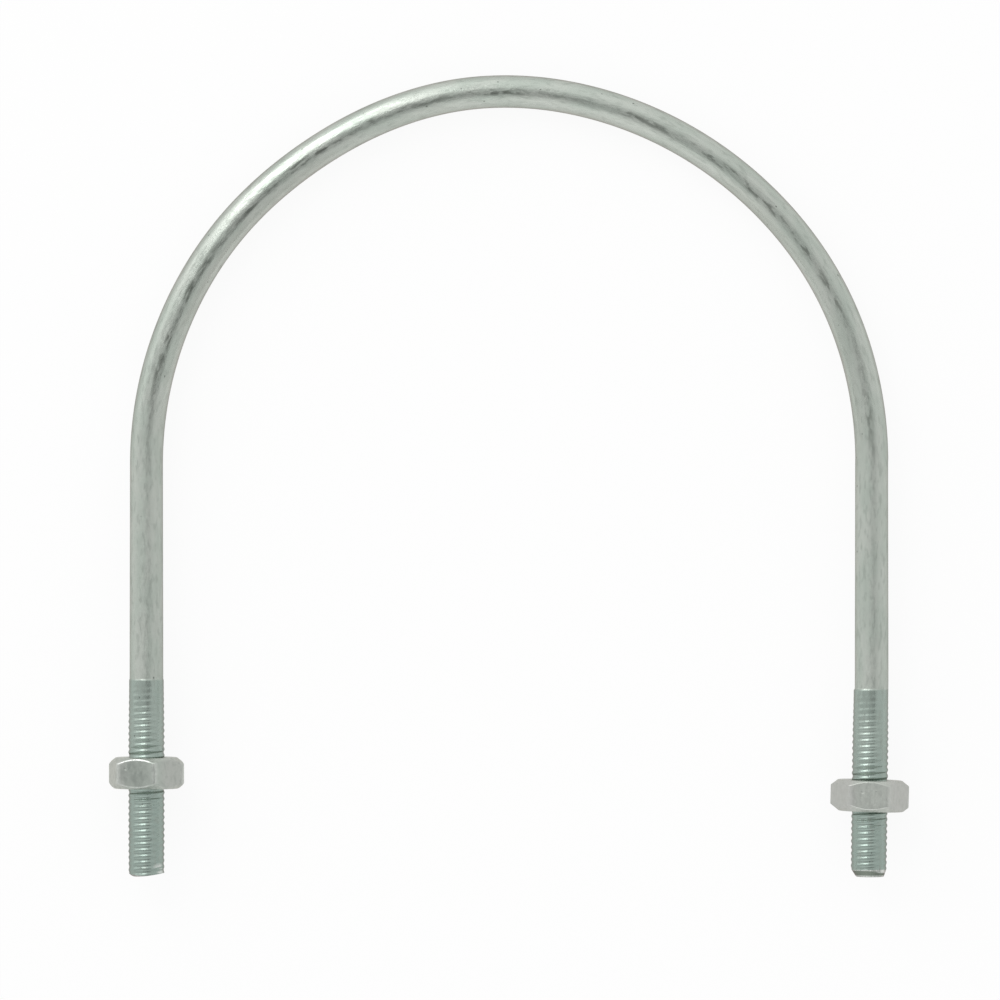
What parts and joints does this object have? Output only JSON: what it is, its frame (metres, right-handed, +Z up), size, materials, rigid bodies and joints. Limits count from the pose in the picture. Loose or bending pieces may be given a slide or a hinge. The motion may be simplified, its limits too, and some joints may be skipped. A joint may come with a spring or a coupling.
{
  "type": "u-bolt pole clamp",
  "caption": "U-bolt pole clamp: a round steel rod bent to a deep U, with a rolled thread and a hexagon nut on each leg, zinc plated.",
  "frame": {"origin": "the centre of the clamped pole, in the plane of the bow's middle line", "axes": "+Z up from the floor that the clamp lies on, legs along -Y and arch towards +Y, left leg at -X; the bow's plane leans 1.7 degrees down towards the arch, as it rests"},
  "size_m": [0.1622, 0.1622, 0.0156],
  "materials": {
    "rod_zinc": "bright zinc electroplate over drawn rod, faint lengthwise marks and dull mottling",
    "nut_zinc": "greyer, more matt zinc electroplate on a cold-formed nut"
  },
  "bodies": {
    "u_bolt": {"u_bolt": "rod_zinc"},
    "nut_left": {"nut_left": "nut_zinc"},
    "nut_right": {"nut_right": "nut_zinc"}
  },
  "joints": [
    {"name": "nut_left_run", "type": "slide", "parent": "u_bolt", "child": "nut_left", "axis": [0, 0.9996, -0.0299], "range_m": [-0.025, 0.01375]},
    {"name": "nut_right_run", "type": "slide", "parent": "u_bolt", "child": "nut_right", "axis": [0, 0.9996, -0.0299], "range_m": [-0.02125, 0.01625]}
  ]
}
